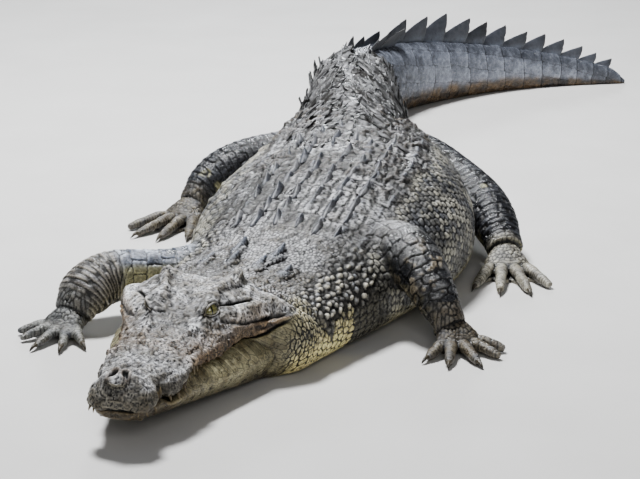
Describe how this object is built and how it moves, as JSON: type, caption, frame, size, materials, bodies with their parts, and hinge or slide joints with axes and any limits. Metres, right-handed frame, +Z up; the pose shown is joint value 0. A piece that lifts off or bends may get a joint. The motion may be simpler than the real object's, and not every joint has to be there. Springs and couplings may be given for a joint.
{
  "type": "saltwater crocodile figure",
  "caption": "Life-size resting saltwater crocodile in one still pose: head to the front, legs splayed, tail curling to its left, armoured back and crested tail.",
  "frame": {"origin": "middle of the plan outline, on the floor the animal rests on", "axes": "-Y the way the snout points, +X the animal's left side, +Z up; metres"},
  "size_m": [1.2914, 4.0166, 0.3602],
  "materials": {
    "head_skin": "pitted scaly hide over bone, dusted with dried grey mud",
    "jaw_skin": "smooth olive-cream hide with fine folds",
    "body_skin": "keeled armour plates under grey mud above, cream net-patterned scales below",
    "leg_skin": "wet glossy blue-grey plates above, cream banded scales below",
    "tail_skin": "wet dark rings of scales, tan-brown along the bottom",
    "eye": "glossy olive-yellow with an upright slit pupil",
    "claw": "dark worn horn",
    "tooth": "stained ivory"
  },
  "bodies": {
    "root": {"head": "head_skin", "lower_jaw": "jaw_skin", "eye_left": "eye", "eye_right": "eye", "neck": "body_skin", "trunk": "body_skin", "tail_base": "tail_skin", "tail_middle": "tail_skin", "tail_end": "tail_skin", "upper_arm_left": "leg_skin", "forearm_left": "leg_skin", "hand_left": "leg_skin", "claw_fore_left_1": "claw", "claw_fore_left_2": "claw", "claw_fore_left_3": "claw", "upper_arm_right": "leg_skin", "forearm_right": "leg_skin", "hand_right": "leg_skin", "claw_fore_right_1": "claw", "claw_fore_right_2": "claw", "claw_fore_right_3": "claw", "thigh_left": "leg_skin", "shank_left": "leg_skin", "foot_left": "leg_skin", "claw_hind_left_1": "claw", "claw_hind_left_2": "claw", "claw_hind_left_3": "claw", "thigh_right": "leg_skin", "shank_right": "leg_skin", "foot_right": "leg_skin", "claw_hind_right_1": "claw", "claw_hind_right_2": "claw", "claw_hind_right_3": "claw"}
  },
  "joints": []
}
